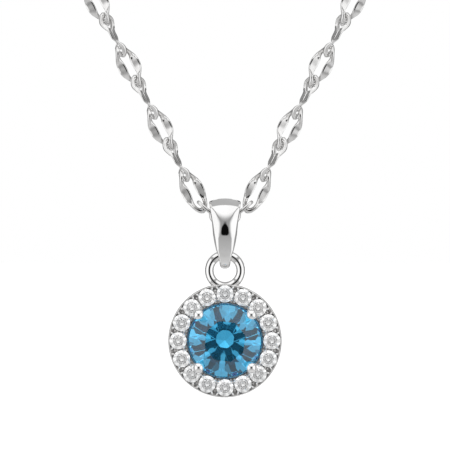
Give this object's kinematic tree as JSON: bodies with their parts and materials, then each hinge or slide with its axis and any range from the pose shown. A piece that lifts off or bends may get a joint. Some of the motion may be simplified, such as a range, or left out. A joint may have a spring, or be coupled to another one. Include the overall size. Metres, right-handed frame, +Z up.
{
  "type": "pendant necklace",
  "caption": "Halo pendant with a round blue stone ringed by clear stones, hung from a tapered bail on a fine chain of flat-petalled links with a spring ring clasp.",
  "frame": {"origin": "the middle of the neck that the chain lies round: the centre of the round upper part of the loop", "axes": "+Z up along the hanging necklace, -Y the way the pendant faces, +X to the right of someone looking at the pendant"},
  "size_m": [0.1136, 0.0039, 0.1948],
  "materials": {
    "link_silver": "polished",
    "polished_silver": "mirror polished",
    "setting_silver": "polished, cut with a graver",
    "blue_stone": "faceted and polished",
    "clear_stone": "faceted and polished"
  },
  "bodies": {
    "neck_chain": {"left_links_5": "link_silver", "right_links_5": "link_silver", "left_links_6": "link_silver", "right_links_6": "link_silver", "left_links_7": "link_silver", "right_links_7": "link_silver", "left_links_8": "link_silver", "right_links_8": "link_silver", "left_links_9": "link_silver", "right_links_9": "link_silver"},
    "leg_upper": {"left_links_4": "link_silver", "right_links_4": "link_silver"},
    "leg_middle": {"left_links_3": "link_silver", "right_links_3": "link_silver"},
    "leg_lower": {"left_links_2": "link_silver", "right_links_2": "link_silver"},
    "leg_bottom": {"left_links_1": "link_silver", "right_links_1": "link_silver"},
    "centre_links": {"left_short_link": "link_silver", "right_short_link": "link_silver", "centre_ring": "link_silver"},
    "bail": {"bail": "polished_silver"},
    "pendant": {"eye_ring": "polished_silver", "halo_frame": "setting_silver", "halo_beads": "setting_silver", "gallery_rail": "setting_silver", "centre_prongs": "polished_silver", "centre_stone": "blue_stone", "halo_stone_1": "clear_stone", "halo_stone_2": "clear_stone", "halo_stone_3": "clear_stone", "halo_stone_4": "clear_stone", "halo_stone_5": "clear_stone", "halo_stone_6": "clear_stone", "halo_stone_7": "clear_stone", "halo_stone_8": "clear_stone", "halo_stone_9": "clear_stone", "halo_stone_10": "clear_stone", "halo_stone_11": "clear_stone", "halo_stone_12": "clear_stone", "halo_stone_13": "clear_stone", "halo_stone_14": "clear_stone", "halo_stone_15": "clear_stone", "halo_stone_16": "clear_stone"},
    "clasp": {"clasp_ring": "polished_silver", "jump_ring": "link_silver", "end_ring": "link_silver"},
    "bolt": {"clasp_bolt": "polished_silver"}
  },
  "joints": [
    {"name": "upper_leg_swing", "type": "hinge", "parent": "neck_chain", "child": "leg_upper", "pos_m": [0, 0, -0.02813], "axis": [1, 0, 0], "range_deg": [-12, 12]},
    {"name": "middle_leg_swing", "type": "hinge", "parent": "leg_upper", "child": "leg_middle", "pos_m": [0, 0, -0.05079], "axis": [1, 0, 0], "range_deg": [-12, 12]},
    {"name": "lower_leg_swing", "type": "hinge", "parent": "leg_middle", "child": "leg_lower", "pos_m": [0, 0, -0.07346], "axis": [1, 0, 0], "range_deg": [-12, 12]},
    {"name": "bottom_leg_swing", "type": "hinge", "parent": "leg_lower", "child": "leg_bottom", "pos_m": [0, 0, -0.09613], "axis": [1, 0, 0], "range_deg": [-12, 12]},
    {"name": "centre_swing", "type": "hinge", "parent": "leg_bottom", "child": "centre_links", "pos_m": [0, 0, -0.1188], "axis": [1, 0, 0], "range_deg": [-12, 12]},
    {"name": "bail_swing", "type": "hinge", "parent": "centre_links", "child": "bail", "pos_m": [0, 0, -0.11841], "axis": [1, 0, 0], "range_deg": [-15, 15]},
    {"name": "pendant_sway", "type": "hinge", "parent": "bail", "child": "pendant", "pos_m": [0, 0, -0.12427], "axis": [0, 1, 0], "range_deg": [-75, 75]},
    {"name": "clasp_turn", "type": "hinge", "parent": "neck_chain", "child": "clasp", "pos_m": [0, 0, 0.05549], "axis": [1, 0, 0], "range_deg": [-12, 12]},
    {"name": "bolt_draw", "type": "hinge", "parent": "clasp", "child": "bolt", "pos_m": [0.00099, 0, 0.05549], "axis": [0, -1, 0], "range_deg": [0, 60], "stiffness_Nm_per_rad": 0.0006, "springref_deg": -34.38}
  ]
}
